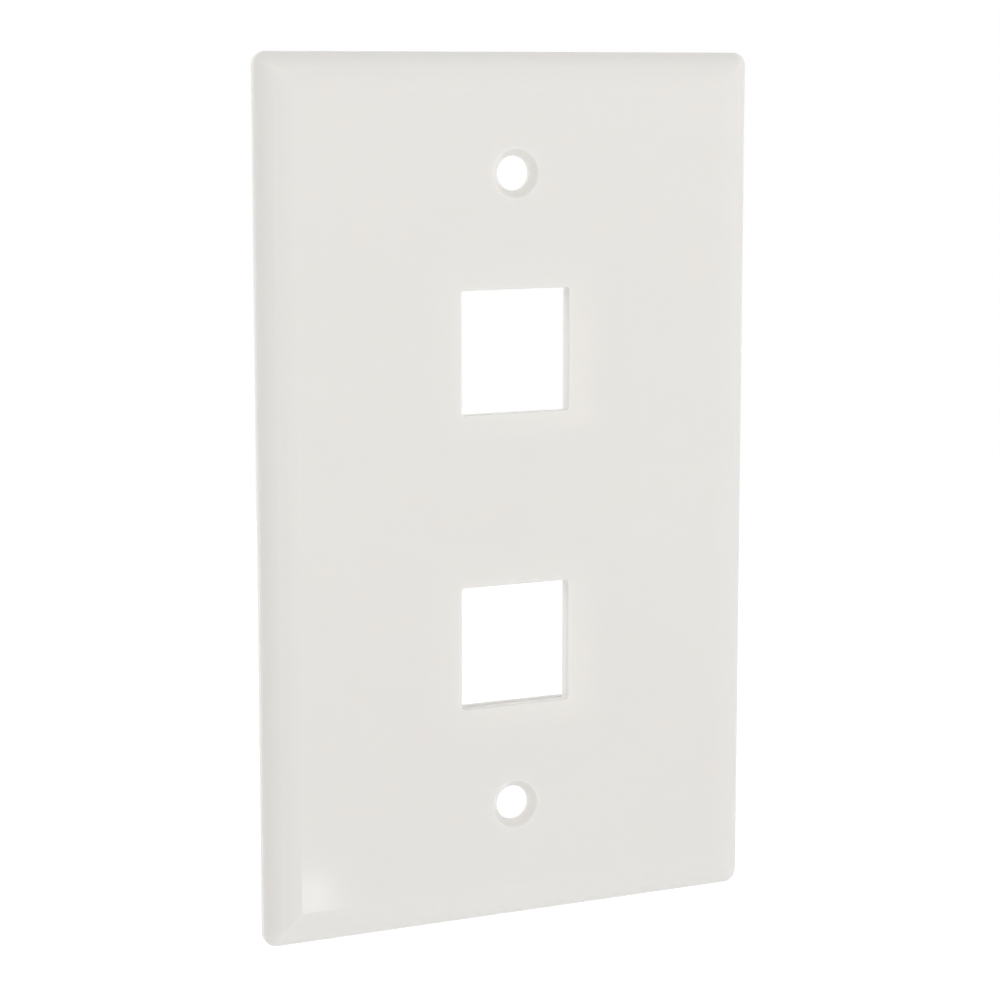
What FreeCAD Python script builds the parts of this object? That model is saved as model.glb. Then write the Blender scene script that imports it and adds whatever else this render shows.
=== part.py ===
"""Two-port keystone wall plate, single gang, moulded in one piece.

The plate stands upright, as it is mounted: +Z is up, +X is to the right of someone who faces it,
and its front looks towards -Y. The origin is the centre of the wall plane, the plane in which the
rear rim meets the wall. Heights are measured from that plane towards the front. All sizes are in
millimetres and all angles in degrees.
"""

import FreeCAD, Part
import math
import os
from collections import namedtuple

Vector = FreeCAD.Vector

# Outline and moulded wall
plate_width = 69.85        # single gang, 2.75 in
plate_height = 114.3       # single gang, 4.5 in
corner_radius = 1.8        # corners of the outline
face_height = 3.2          # flat face above the wall plane
face_wall = 1.9            # thickness of the face
rim_wall = 1.8             # thickness of the rim that meets the wall
mould_edge_radius = 0.2    # no outer edge of a moulding is sharper

# Front border: an upright skirt, a steep shoulder and a shallow ramp up to the flat face
skirt_height = 1.3
lip_radius = 0.5           # softened edge between skirt and shoulder
shoulder_width = 2.0
border_width = 4.5         # shoulder and ramp together
ramp_rise = 0.45           # the rest of the height is the shoulder's
ridge_angle = 2.0          # the ramp meets the face almost without a ridge

# Rear hollow, which follows the border from inside
hollow_corner_radius = 1.0
hollow_skirt_height = 0.3
hollow_lip_radius = 0.2
hollow_shoulder_width = 1.3
hollow_border_width = 3.4
hollow_ramp_rise = 0.3

# Two oval-head screws into the box
screw_spacing = 83.34      # 3 9/32 in, the fixed spacing of a single-gang box
screw_hole_radius = 2.25   # clears a No. 6 screw
screw_hole_wall = 0.4      # the hole is relieved from behind, down to this thickness
countersink_radius = 3.2
countersink_angle = 82.0   # full angle of the screw head
boss_radius = 4.6          # ring behind each hole, which keeps the face from bowing
boss_wall = 1.2
boss_draft = 0.15          # how much wider the ring is at its root

# Two keystone ports, one above the other
port_count = 2
port_pitch = 38.8
port_drop = 0.7            # the openings sit low, because the latch above each needs more room
opening_width = 15.4
opening_height = 16.1
opening_corner = 0.4
edge_round = 0.25          # softened front edge of each opening and countersink
port_wall = 1.3            # thickness of the face inside the collars

# What holds a jack behind each opening
catch_depth = 8.2          # from the front face to the catch bars
catch_thickness = 1.6
catch_gap = 19.4           # between the two catch bars
hook_room = 1.2            # from the lower bar's edge down to the collar's floor
latch_room = 2.3           # from the upper bar's edge up to the collar's roof
hook_lead = 0.4            # chamfer that the fixed hook slides over
latch_lead = 0.9           # chamfer that pushes the latch aside
cheek_gap = 4.0            # from the opening's side to the collar's cheek
collar_wall = 1.5
collar_corner = 1.0        # rounded outer corners of the collar

# Stiffening ribs in the rear hollow
rib_thickness = 1.2
rib_clearance = 0.3        # the ribs stop short of the wall plane
rib_offset = 8.0           # of the side ribs, above and below a port's centre

# Round marks that the ejector pins leave on the rear of the face
ejector_radius = 2.0
ejector_depth = 0.12
ejector_inset = 9.0        # from the outline
ejector_rows = 4

# Worked out from the sizes above
half_width = plate_width / 2
half_height = plate_height / 2
ceiling = face_height - face_wall                     # height of the face's rear surface
root = ceiling + face_wall / 2                        # rear features are rooted inside the face
sink_slope = math.tan(math.radians(countersink_angle / 2))
sink_bottom = face_height - (countersink_radius - screw_hole_radius) / sink_slope
collar_end = face_height - catch_depth - catch_thickness
collar_half_width = opening_width / 2 + cheek_gap + collar_wall
collar_bottom = -catch_gap / 2 - hook_room - collar_wall
collar_top = catch_gap / 2 + latch_room + collar_wall
port_centres = [port_pitch * (i - (port_count - 1) / 2) - port_drop for i in range(port_count)]
screw_heights = [-screw_spacing / 2, screw_spacing / 2]

Border = namedtuple("Border", "skirt lip shoulder width ramp_rise")
front_border = Border(skirt_height, lip_radius, shoulder_width, border_width, ramp_rise)
rear_border = Border(hollow_skirt_height, hollow_lip_radius, hollow_shoulder_width,
                     hollow_border_width, hollow_ramp_rise)


def block(x, height, z):
    """A box from its low and high limits in x, in height above the wall plane and in z."""
    return Part.makeBox(x[1] - x[0], height[1] - height[0], z[1] - z[0],
                        Vector(x[0], -height[1], z[0]))


def upright_edges(box):
    """The edges of a box that run from front to rear."""
    return [edge for edge in box.Edges if abs(edge.tangentAt(edge.FirstParameter).y) > 0.5]


def bowed(outer, inner, last_slope):
    """Centre, radius and first slope of the arc that rises inwards and flattens to a last slope."""
    mean = math.atan2(inner.y - outer.y, outer.x - inner.x)
    radius = (inner - outer).Length / (2 * math.sin(mean - last_slope))
    centre = inner - Vector(math.sin(last_slope), math.cos(last_slope)) * radius
    return centre, radius, 2 * mean - last_slope


def arc(centre, radius, start, end):
    """An arc edge between two angles, measured in the section's plane."""
    points = [centre + Vector(math.cos(turn), math.sin(turn)) * radius
              for turn in (start, (start + end) / 2, end)]
    return Part.Arc(*points).toShape()


def section(reach, top, border):
    """Half of the plate's section, as a face, with its reach along +X and its height along -Y.

    The shoulder flattens until it has the slope at which the ramp starts, so they meet smoothly.
    """
    skirt_top = Vector(reach, border.skirt)
    shoulder_end = Vector(reach - border.shoulder, top - border.ramp_rise)
    ramp_end = Vector(reach - border.width, top)
    ridge = math.radians(ridge_angle)
    ramp_centre, ramp_radius, ramp_slope = bowed(shoulder_end, ramp_end, ridge)
    shoulder_centre, shoulder_radius, _ = bowed(skirt_top, shoulder_end, ramp_slope)

    # The lip touches the skirt, which is straight, and the shoulder from inside.
    across = reach - border.lip - shoulder_centre.x
    along = math.sqrt((shoulder_radius - border.lip) ** 2 - across ** 2)
    lip_centre = shoulder_centre + Vector(across, along)
    lip_turn = math.atan2(along, across)

    foot = Vector(reach, 0)
    edges = [
        Part.LineSegment(Vector(0, 0), foot).toShape(),
        Part.LineSegment(foot, lip_centre + Vector(border.lip, 0)).toShape(),
        arc(lip_centre, border.lip, 0, lip_turn),
        arc(shoulder_centre, shoulder_radius, lip_turn, math.pi / 2 - ramp_slope),
        arc(ramp_centre, ramp_radius, math.pi / 2 - ramp_slope, math.pi / 2 - ridge),
        Part.LineSegment(ramp_end, Vector(0, top)).toShape(),
        Part.LineSegment(Vector(0, top), Vector(0, 0)).toShape(),
    ]
    return Part.Face(Part.Wire(edges)).mirror(Vector(0, 0, 0), Vector(0, 1, 0))


def bar_of_section(half, length):
    """The whole section, run straight along Z over the length."""
    half_bar = half.extrude(Vector(0, 0, length))
    half_bar.translate(Vector(0, 0, -length / 2))
    return half_bar.fuse(half_bar.mirror(Vector(0, 0, 0), Vector(1, 0, 0))).removeSplitter()


def bevelled_block(width, height, radius, top, border):
    """A block bevelled all round: mitred like a picture frame, with its corners turned round."""
    upright = bar_of_section(section(width / 2, top, border), height)
    level = bar_of_section(section(height / 2, top, border), width)
    level.rotate(Vector(0, 0, 0), Vector(0, 1, 0), 90)
    mitred = upright.common(level)

    edge_strip = section(border.width + radius, top, border)
    edge_strip.translate(Vector(-border.width, 0, 0))
    edge_strip = edge_strip.common(Part.makePlane(radius, top, Vector(0, -top, 0)))
    button = edge_strip.revolve(Vector(0, 0, 0), Vector(0, 1, 0), 360)
    corner = block((0, radius), (0, top), (0, radius)).cut(button)
    corner.translate(Vector(width / 2 - radius, 0, height / 2 - radius))
    corners = [corner, corner.mirror(Vector(0, 0, 0), Vector(1, 0, 0))]
    corners += [shape.mirror(Vector(0, 0, 0), Vector(0, 0, 1)) for shape in corners]
    return mitred.cut(corners)


def turned(outline, x, z):
    """A ring or plug turned about a front-to-rear axis, from its (radius, height) outline."""
    points = [Vector(radius, -height, 0) for radius, height in outline]
    face = Part.Face(Part.makePolygon(points + points[:1]))
    solid = face.revolve(Vector(0, 0, 0), Vector(0, 1, 0), 360)
    solid.translate(Vector(x, 0, z))
    return solid


def run_along_x(outline, x):
    """A prism along X between two limits, from its (height, z) outline."""
    points = [Vector(x[0], -height, z) for height, z in outline]
    face = Part.Face(Part.makePolygon(points + points[:1]))
    return face.extrude(Vector(x[1] - x[0], 0, 0))


def screw_boss(z):
    """A ring from the face to the wall plane, slightly tapered so that it leaves its mould."""
    inner_radius = boss_radius - boss_wall
    outline = [
        (inner_radius, 0),
        (boss_radius, 0),
        (boss_radius + boss_draft, ceiling),
        (boss_radius + boss_draft, root),
        (inner_radius, root),
    ]
    return turned(outline, 0, z)


def hollow_of_boss(z):
    """The space inside the ring, which goes on into the face until the hole's wall is thin."""
    inner_radius = boss_radius - boss_wall
    floor = sink_bottom - screw_hole_wall
    return turned([(0, 0), (inner_radius, 0), (inner_radius, floor), (0, floor)], 0, z)


def screw_hole(z):
    """The space of an oval-head screw: a clearance hole under a countersink."""
    above = face_height + face_wall
    outline = [
        (0, 0),
        (screw_hole_radius, 0),
        (screw_hole_radius, sink_bottom),
        (countersink_radius, face_height),
        (countersink_radius, above),
        (0, above),
    ]
    return turned(outline, 0, z)


def collar(z):
    """The box behind a port: cheeks, floor and roof, with a catch bar at the floor and the roof.

    The jack goes in from the rear. Its fixed hook drops over the lower bar, and its sprung latch
    snaps past the upper one, so both bars have a chamfer on their rear edge.
    """
    cheek = collar_half_width - collar_wall
    bar_x = (-cheek - collar_wall / 2, cheek + collar_wall / 2)
    bar_front = face_height - catch_depth

    outside = block((-collar_half_width, collar_half_width), (collar_end, root),
                    (collar_bottom, collar_top))
    outside = outside.makeFillet(collar_corner, upright_edges(outside))
    inside = block((-cheek, cheek), (collar_end, root),
                   (collar_bottom + collar_wall, collar_top - collar_wall))

    def bar(edge, seat, lead):
        away = math.copysign(1, seat)
        outline = [
            (bar_front, edge),
            (collar_end + lead, edge),
            (collar_end, edge + away * lead),
            (collar_end, seat),
            (bar_front, seat),
        ]
        return run_along_x(outline, bar_x)

    lower = bar(-catch_gap / 2, collar_bottom + collar_wall / 2, hook_lead)
    upper = bar(catch_gap / 2, collar_top - collar_wall / 2, latch_lead)
    shape = outside.cut(inside).fuse([lower, upper])
    shape.translate(Vector(0, 0, z))
    return shape


def port_space(z):
    """The jack's window, with barely rounded corners, and the relief that thins the face."""
    window = block((-opening_width / 2, opening_width / 2), (ceiling, face_height),
                   (-opening_height / 2, opening_height / 2))
    window = window.makeFillet(opening_corner, upright_edges(window))
    cheek = collar_half_width - collar_wall
    relief = block((-cheek, cheek), (ceiling, face_height - port_wall),
                   (collar_bottom + collar_wall, collar_top - collar_wall))
    space = window.fuse(relief)
    space.translate(Vector(0, 0, z))
    return space


def ribs(shell):
    """Side ribs from each collar to the rim, and a spine between collars and bosses.

    The border is lower than the ribs' roots near the rim, so they are trimmed to the shell.
    """
    height = (rib_clearance, root)
    half_rib = rib_thickness / 2
    near, far = collar_half_width - collar_wall / 2, half_width - rim_wall / 2
    shapes = []
    for centre in port_centres:
        for z in (centre - rib_offset, centre + rib_offset):
            for x in ((-far, -near), (near, far)):
                shapes.append(block(x, height, (z - half_rib, z + half_rib)))

    stops = [screw_heights[0] + boss_radius - boss_wall / 2]
    for centre in port_centres:
        stops += [centre + collar_bottom + collar_wall / 2, centre + collar_top - collar_wall / 2]
    stops.append(screw_heights[1] - boss_radius + boss_wall / 2)
    for low, high in zip(stops[::2], stops[1::2]):
        shapes.append(block((-half_rib, half_rib), height, (low, high)))
    return [shape.common(shell) for shape in shapes]


def ejector_marks():
    """Shallow round dents in the rear of the face, in two columns between the side ribs."""
    x, top = half_width - ejector_inset, half_height - ejector_inset
    outline = [(0, 0), (ejector_radius, 0), (ejector_radius, ceiling + ejector_depth),
               (0, ceiling + ejector_depth)]
    rows = [top * (2 * i / (ejector_rows - 1) - 1) for i in range(ejector_rows)]
    return [turned(outline, side * x, z) for side in (-1, 1) for z in rows]


def flat_edges(shape, height):
    """The edges that lie in the plane at this height, each with its bounding box."""
    boxes = [(edge, edge.BoundBox) for edge in shape.Edges]
    return [(edge, box) for edge, box in boxes
            if abs(box.YMin + height) < 1e-4 and abs(box.YMax + height) < 1e-4]


def round_windows(shape):
    """Rounds the front edges of the openings and countersinks, which lie inside the border."""
    inside_x = half_width - border_width - edge_round
    inside_z = half_height - border_width - edge_round
    edges = [edge for edge, box in flat_edges(shape, face_height)
             if max(-box.XMin, box.XMax) < inside_x and max(-box.ZMin, box.ZMax) < inside_z]
    return shape.makeFillet(edge_round, edges)


def round_rear(shape):
    """Rounds the rear outer edges of the outline and of the collars."""
    edges = [edge for edge, box in flat_edges(shape, 0)
             if max(-box.XMin, box.XMax) > half_width - mould_edge_radius
             or max(-box.ZMin, box.ZMax) > half_height - mould_edge_radius]
    for edge, box in flat_edges(shape, collar_end):
        levels = [abs(level - centre - end) for level in (box.ZMin, box.ZMax)
                  for centre in port_centres for end in (collar_bottom, collar_top)]
        if max(-box.XMin, box.XMax) > collar_half_width - 1e-4 or min(levels) < 1e-4:
            edges.append(edge)
    return shape.makeFillet(mould_edge_radius, edges)


def faceplate():
    shell = bevelled_block(plate_width, plate_height, corner_radius, face_height, front_border)
    hollow = bevelled_block(plate_width - 2 * rim_wall, plate_height - 2 * rim_wall,
                            hollow_corner_radius, ceiling, rear_border)
    plate = shell.cut(hollow)
    plate = plate.fuse([collar(z) for z in port_centres])
    plate = plate.fuse([screw_boss(z) for z in screw_heights] + ribs(shell))
    plate = plate.cut([port_space(z) for z in port_centres])
    plate = plate.cut([cutter(z) for z in screw_heights for cutter in (hollow_of_boss, screw_hole)])
    plate = plate.cut(ejector_marks())
    plate = round_rear(round_windows(plate.removeSplitter()))
    return plate.Solids[0]


os.makedirs("parts", exist_ok=True)
plate = faceplate()
plate.exportStep("parts/faceplate.step")
print("faceplate", plate.isValid(), round(plate.Volume, 1), "mm3,", len(plate.Faces), "faces")
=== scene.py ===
# %% [markdown]
# # Dressing a two-port keystone wall plate
# The real object is one injection moulding in warm white ABS: a flat face, a bevelled border that
# falls back to the wall, two windows for keystone jacks and two countersunk screw holes. Every edge
# of it is in the CAD model already, at its real size. What is left for Blender is the finish of the
# plastic, the light and the camera. A white object on a white ground is a good exercise, because
# nothing but small steps in tone shows its form, so most of this lesson is about light.

# %% Load the moulding
import math

import bmesh
import bpy
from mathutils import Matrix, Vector


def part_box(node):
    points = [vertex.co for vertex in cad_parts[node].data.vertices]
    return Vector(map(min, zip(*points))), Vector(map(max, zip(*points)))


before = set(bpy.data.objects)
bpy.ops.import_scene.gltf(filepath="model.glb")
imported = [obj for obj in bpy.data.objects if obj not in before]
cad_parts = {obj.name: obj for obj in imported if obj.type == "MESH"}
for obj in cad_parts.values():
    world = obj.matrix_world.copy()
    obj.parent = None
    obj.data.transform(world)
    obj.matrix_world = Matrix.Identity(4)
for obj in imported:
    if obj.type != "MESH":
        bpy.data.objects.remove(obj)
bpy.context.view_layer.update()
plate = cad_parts["faceplate"]
plate_low, plate_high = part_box("faceplate")
print("moulding", [round(1000 * side, 2) for side in plate_high - plate_low], "mm,",
      len(plate.data.polygons), "faces")

# %% [markdown]
# ## Colours and nodes
# Colours are easiest to judge as the hex values that a paint or web tool shows, but shaders add and
# multiply light, so they want linear numbers. One function does that step. A second one adds a node
# with its settings, its values and its links in a single call, which keeps each material short
# enough to read as a list of decisions.

# %% Colour and node helpers
mm = 0.001


def linear(hex_colour):
    """An sRGB hex colour as the linear RGBA that shaders take."""
    channels = [int(hex_colour[i:i + 2], 16) / 255 for i in (1, 3, 5)]
    curve = [c / 12.92 if c <= 0.04045 else ((c + 0.055) / 1.055) ** 2.4 for c in channels]
    return (*curve, 1.0)


def add_node(tree, kind, settings=None, values=None, links=None):
    """Adds a node, sets its properties and sockets, and links outputs into its inputs."""
    node = tree.nodes.new(kind)
    for name, value in (settings or {}).items():
        setattr(node, name, value)
    for socket, value in (values or {}).items():
        node.inputs[socket].default_value = value
    for socket, output in (links or {}).items():
        tree.links.new(output, node.inputs[socket])
    return node


print("warm white in linear light:", [round(c, 3) for c in linear("#E8E7E4")])

# %% [markdown]
# ## Glossy injection-moulded ABS
# ABS copies the steel it is pressed against. The front of this plate comes from the polished cavity
# half of the mould, so it is glossy, with the shallow orange-peel waves that a cooling skin leaves.
# The rear comes from the core half, which is only stoned, so it is satin and finely grained. One
# material can hold both: the object-space normal tells which half of the mould a surface came from.
# ABS has an IOR of about 1.54, which makes it reflect about 5% of what is in front of it. White ABS
# is also translucent: light wanders about a millimetre through it, as far as the thin walls of the
# windows are thick, so they pass it on and stay bright. Red light travels a little further than
# blue, which is where the warmth in the shadows comes from.

# %% The plastic
peel_wave = 2.2 * mm       # real waves are 1.5 to 3 mm across
peel_height = 0.0012 * mm  # about a micron, which only reflections show
grain_wave = 0.35 * mm     # stoned steel is finer, drawn as coarse as it needs to show
grain_height = 0.004 * mm
shade_wave = 45 * mm       # the resin's own slow change of shade
polished, satin = 0.16, 0.42
gloss_spread = 0.1         # how far the roughness wanders to either side
mould_seam = 0.15          # the finishes meet on walls that face this little to front or rear
abs_ior = 1.54
light_path = 1.1 * mm
path_by_colour = (1.0, 0.95, 0.9)


def moulded_abs():
    material = bpy.data.materials.new("glossy injection-moulded ABS")
    material.use_nodes = True
    tree = material.node_tree
    tree.nodes.clear()
    where = add_node(tree, "ShaderNodeTexCoord")

    # From 0 on the cavity side, which faces -Y, to 1 on the core side.
    facing = add_node(tree, "ShaderNodeSeparateXYZ", links={"Vector": where.outputs["Normal"]})
    core = add_node(tree, "ShaderNodeMapRange", {"interpolation_type": "SMOOTHSTEP"},
                    {"From Min": -mould_seam, "From Max": mould_seam}, {"Value": facing.outputs["Y"]})

    def noise(wave, detail=2.0):
        return add_node(tree, "ShaderNodeTexNoise", None, {"Scale": 1 / wave, "Detail": detail},
                        {"Vector": where.outputs["Object"]}).outputs["Fac"]

    shade = add_node(tree, "ShaderNodeMix", {"data_type": "RGBA"},
                     {"A": linear("#E8E7E4"), "B": linear("#E7E5E2")}, {"Factor": noise(shade_wave)})

    gloss = add_node(tree, "ShaderNodeMix", None, {"A": polished, "B": satin},
                     {"Factor": core.outputs["Result"]})
    uneven = add_node(tree, "ShaderNodeMapRange", None,
                      {"To Min": 1 - gloss_spread, "To Max": 1 + gloss_spread},
                      {"Value": noise(4 * peel_wave)})
    roughness = add_node(tree, "ShaderNodeMath", {"operation": "MULTIPLY"}, None,
                         {0: gloss.outputs["Result"], 1: uneven.outputs["Result"]})

    peel = add_node(tree, "ShaderNodeBump", None, {"Distance": peel_height},
                    {"Height": noise(peel_wave, 0.0)})
    grain = add_node(tree, "ShaderNodeBump", None, {"Distance": grain_height},
                     {"Height": noise(grain_wave), "Strength": core.outputs["Result"],
                      "Normal": peel.outputs["Normal"]})

    surface = add_node(tree, "ShaderNodeBsdfPrincipled", None,
                       {"IOR": abs_ior, "Subsurface Weight": 1.0, "Subsurface Scale": light_path,
                        "Subsurface Radius": path_by_colour},
                       {"Base Color": shade.outputs["Result"], "Roughness": roughness.outputs["Value"],
                        "Normal": grain.outputs["Normal"]})
    add_node(tree, "ShaderNodeOutputMaterial", links={"Surface": surface.outputs["BSDF"]})
    return material


plate.material_slots[0].material = moulded_abs()
print("material", plate.material_slots[0].material.name)

# %% [markdown]
# ## Camera
# The plate is looked at from its left and from a little above, at about arm's length. A lens of
# nearly 100 mm at that distance keeps the sides close to parallel, as a product picture does. The
# shift lowers the frame by a twentieth of its width, so that the plate sits in the middle.

# %% Place the camera
look_down, look_right = 7.86, 25.37  # degrees

camera_data = bpy.data.cameras.new("camera")
camera_data.lens = 97.8
camera_data.sensor_width = 36
camera_data.shift_y = -0.05
camera = bpy.data.objects.new("camera", camera_data)
camera.location = (-0.1522, -0.3193, 0.0542)
camera.rotation_euler = (math.radians(90 - look_down), 0, math.radians(-look_right))
bpy.context.scene.collection.objects.link(camera)
bpy.context.scene.camera = camera
print("camera", round(camera.location.length, 3), "m from the middle of the plate")

# %% [markdown]
# ## White ground and light tent
# The plate hangs on a wall in use, so it doesn't stand on anything: the floor lies 50 mm below it.
# Floor and background are both paper white. The easy mistake is to light a grey floor until it
# clips, which burns out the plate too. Instead the floor glows a little, but only for rays from the
# camera, from reflections and through glass. Its diffuse light stays what the lamps give it, so it
# still keeps the plate's soft shadow. The sheet ends 0.6 m away, before the main lamp: a glossy face
# this flat mirrors whatever lies in front of it, and a bright patch of floor would veil its top.
#
# The world does the same with two levels. Seen directly it is white. As light it is a tent, a little
# darker overhead, which lets the upper border fall below the face in tone.

# %% Floor and world
floor_gap = 50 * mm
floor_reach = 0.6
floor_glow = 0.4
tent_side, tent_overhead = 0.76, 0.54


def seen_directly(tree):
    """1 for rays from the camera, from a reflection or through glass, and 0 for diffuse light."""
    path = add_node(tree, "ShaderNodeLightPath")
    mirrored = add_node(tree, "ShaderNodeMath", {"operation": "MAXIMUM"}, None,
                        {0: path.outputs["Is Camera Ray"], 1: path.outputs["Is Glossy Ray"]})
    either = add_node(tree, "ShaderNodeMath", {"operation": "MAXIMUM"}, None,
                      {0: mirrored.outputs["Value"], 1: path.outputs["Is Transmission Ray"]})
    return either.outputs["Value"]


def white_paper():
    material = bpy.data.materials.new("matt white paper")
    material.use_nodes = True
    tree = material.node_tree
    tree.nodes.clear()
    paper = add_node(tree, "ShaderNodeBsdfDiffuse", None, {"Color": linear("#F2F2F2")})
    level = add_node(tree, "ShaderNodeMath", {"operation": "MULTIPLY"}, {1: floor_glow},
                     {0: seen_directly(tree)})
    glow = add_node(tree, "ShaderNodeEmission", links={"Strength": level.outputs["Value"]})
    both = add_node(tree, "ShaderNodeAddShader",
                    links={0: paper.outputs["BSDF"], 1: glow.outputs["Emission"]})
    add_node(tree, "ShaderNodeOutputMaterial", links={"Surface": both.outputs["Shader"]})
    return material


sheet = bmesh.new()
bmesh.ops.create_grid(sheet, x_segments=1, y_segments=1, size=floor_reach)
bmesh.ops.translate(sheet, verts=sheet.verts, vec=(0, 0, plate_low.z - floor_gap))
floor_mesh = bpy.data.meshes.new("floor")
sheet.to_mesh(floor_mesh)
sheet.free()
floor_mesh.materials.append(white_paper())
floor = bpy.data.objects.new("floor", floor_mesh)
bpy.context.scene.collection.objects.link(floor)

studio = bpy.data.worlds.new("studio")
bpy.context.scene.world = studio
studio.use_nodes = True
sky = studio.node_tree
sky.nodes.clear()
direction = add_node(sky, "ShaderNodeTexCoord")
rise = add_node(sky, "ShaderNodeSeparateXYZ", links={"Vector": direction.outputs["Generated"]})
tent = add_node(sky, "ShaderNodeMapRange", None, {"To Min": tent_side, "To Max": tent_overhead},
                {"Value": rise.outputs["Z"]})
brightness = add_node(sky, "ShaderNodeMapRange", None, {"To Max": 1.0},
                      {"Value": seen_directly(sky), "To Min": tent.outputs["Result"]})
white = add_node(sky, "ShaderNodeBackground", None, {"Color": linear("#FFFFFF")},
                 {"Strength": brightness.outputs["Result"]})
add_node(sky, "ShaderNodeOutputWorld", links={"Surface": white.outputs["Background"]})
print("floor", round(1000 * floor_gap), "mm below the plate, tent at", tent_side)

# %% [markdown]
# ## Lamps
# The tent gives the face about two thirds of its light, so nothing is dark. The form is drawn by one
# large softbox, almost straight in front and a little to the right: whatever turns away from the
# front gets less of it, the left border most of all. A second softbox, behind the plate and a little
# above it on the left, shines through the windows onto their right-hand walls and along the plate's
# edge. Both are kept out of reflections, where the tent already stands for them. A reflector no
# larger than a fingertip, low in front of the plate, gives the glossy face its one highlight, in the
# corner and a little cooler than the plastic.

# %% Softboxes
def softbox(name, place, aim, size, radiance, colour="#FFFFFF", reflected=False):
    """A rectangular lamp aimed at a point. A radiance of 1 looks as bright as white paper."""
    lamp = bpy.data.lights.new(name, "AREA")
    lamp.shape = "RECTANGLE"
    lamp.size, lamp.size_y = size
    lamp.energy = radiance * math.pi * size[0] * size[1]
    lamp.color = linear(colour)[:3]
    box = bpy.data.objects.new(name, lamp)
    box.location = place
    box.rotation_euler = (Vector(aim) - Vector(place)).to_track_quat("-Z", "Y").to_euler()
    box.visible_camera = False
    box.visible_glossy = reflected
    bpy.context.scene.collection.objects.link(box)
    return box


plate_middle = (0, 0, 0)
lower_left_corner = (-0.0288, -0.0032, -0.0506)  # where the flat face ends

softbox("key", place=(0.208, -0.978, 0.02), aim=plate_middle, size=(1.0, 0.45), radiance=2.7)
softbox("rim", place=(-0.405, 0.765, 0.252), aim=plate_middle, size=(0.7, 0.7), radiance=2.5)
softbox("corner reflector", place=(-0.0100, -0.0522, -0.0670), aim=lower_left_corner,
        size=(0.0055, 0.0055), radiance=3.8, colour="#EFF8FF", reflected=True)
lamps = [thing.name for thing in bpy.context.scene.objects if thing.type == "LIGHT"]
print(len(lamps), "lamps:", ", ".join(lamps))

bpy.context.scene.view_settings.view_transform = "Standard"
